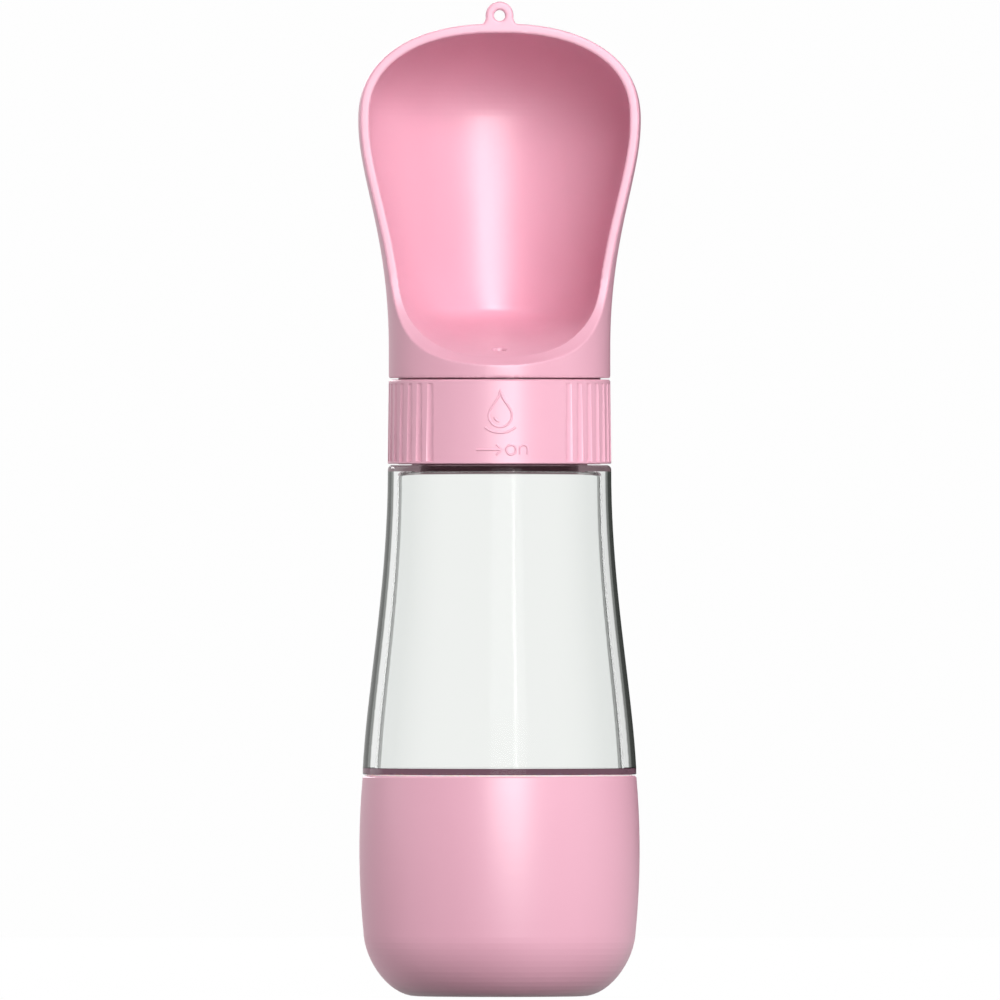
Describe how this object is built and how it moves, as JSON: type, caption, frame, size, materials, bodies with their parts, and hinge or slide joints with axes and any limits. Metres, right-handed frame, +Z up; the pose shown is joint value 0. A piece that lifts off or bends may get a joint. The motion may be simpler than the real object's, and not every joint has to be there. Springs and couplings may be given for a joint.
{
  "type": "dog travel water bottle",
  "caption": "Upright travel bottle with a scoop-shaped drinking trough, a turning switch collar, a clear water reservoir and a screw-on food box.",
  "frame": {"origin": "middle of the base, on the surface that the bottle stands on", "axes": "+Z up along the bottle's axis, -Y out of the open side of the trough, +X to the right of someone who looks into the trough"},
  "size_m": [0.0708, 0.0702, 0.249],
  "materials": {
    "pink_plastic": "satin moulded pink plastic",
    "inner_plastic": "plain moulded pink plastic",
    "clear_plastic": "clear polished plastic",
    "silicone": "soft translucent white silicone",
    "steel": "plain stainless steel"
  },
  "bodies": {
    "water_unit": {"reservoir": "clear_plastic", "reservoir_floor": "clear_plastic"},
    "neck_slide": {"neck_seal": "silicone"},
    "head_unit": {"neck_cap": "inner_plastic", "hub_screw": "steel", "screw_washer": "steel", "hub_o_ring": "silicone", "lower_o_ring": "silicone", "upper_o_ring": "silicone", "lower_port_seal": "silicone", "upper_port_seal": "silicone", "trough_base": "inner_plastic", "outlet_seal": "silicone", "trough": "pink_plastic"},
    "switch_unit": {"switch_collar": "pink_plastic"},
    "rim_slide": {"rim_seal": "silicone"},
    "box_unit": {"food_box": "pink_plastic"}
  },
  "joints": [
    {"name": "head_lift", "type": "slide", "parent": "water_unit", "child": "neck_slide", "axis": [0, 0, 1], "range_m": [0, 0.008]},
    {"name": "head_turn", "type": "hinge", "parent": "neck_slide", "child": "head_unit", "pos_m": [0, 0, 0.14], "axis": [0, 0, 1], "range_deg": [0, 720]},
    {"name": "switch_turn", "type": "hinge", "parent": "head_unit", "child": "switch_unit", "pos_m": [0, 0, 0.15], "axis": [0, 0, 1], "range_deg": [0, 60]},
    {"name": "box_drop", "type": "slide", "parent": "water_unit", "child": "rim_slide", "axis": [0, 0, -1], "range_m": [0, 0.006]},
    {"name": "box_turn", "type": "hinge", "parent": "rim_slide", "child": "box_unit", "pos_m": [0, 0, 0.05], "axis": [0, 0, -1], "range_deg": [0, 540]}
  ],
  "couplings": [
    {"joint": "head_lift", "follows": "head_turn", "m_per_rad": 0.0006366},
    {"joint": "box_drop", "follows": "box_turn", "m_per_rad": 0.0006366}
  ]
}
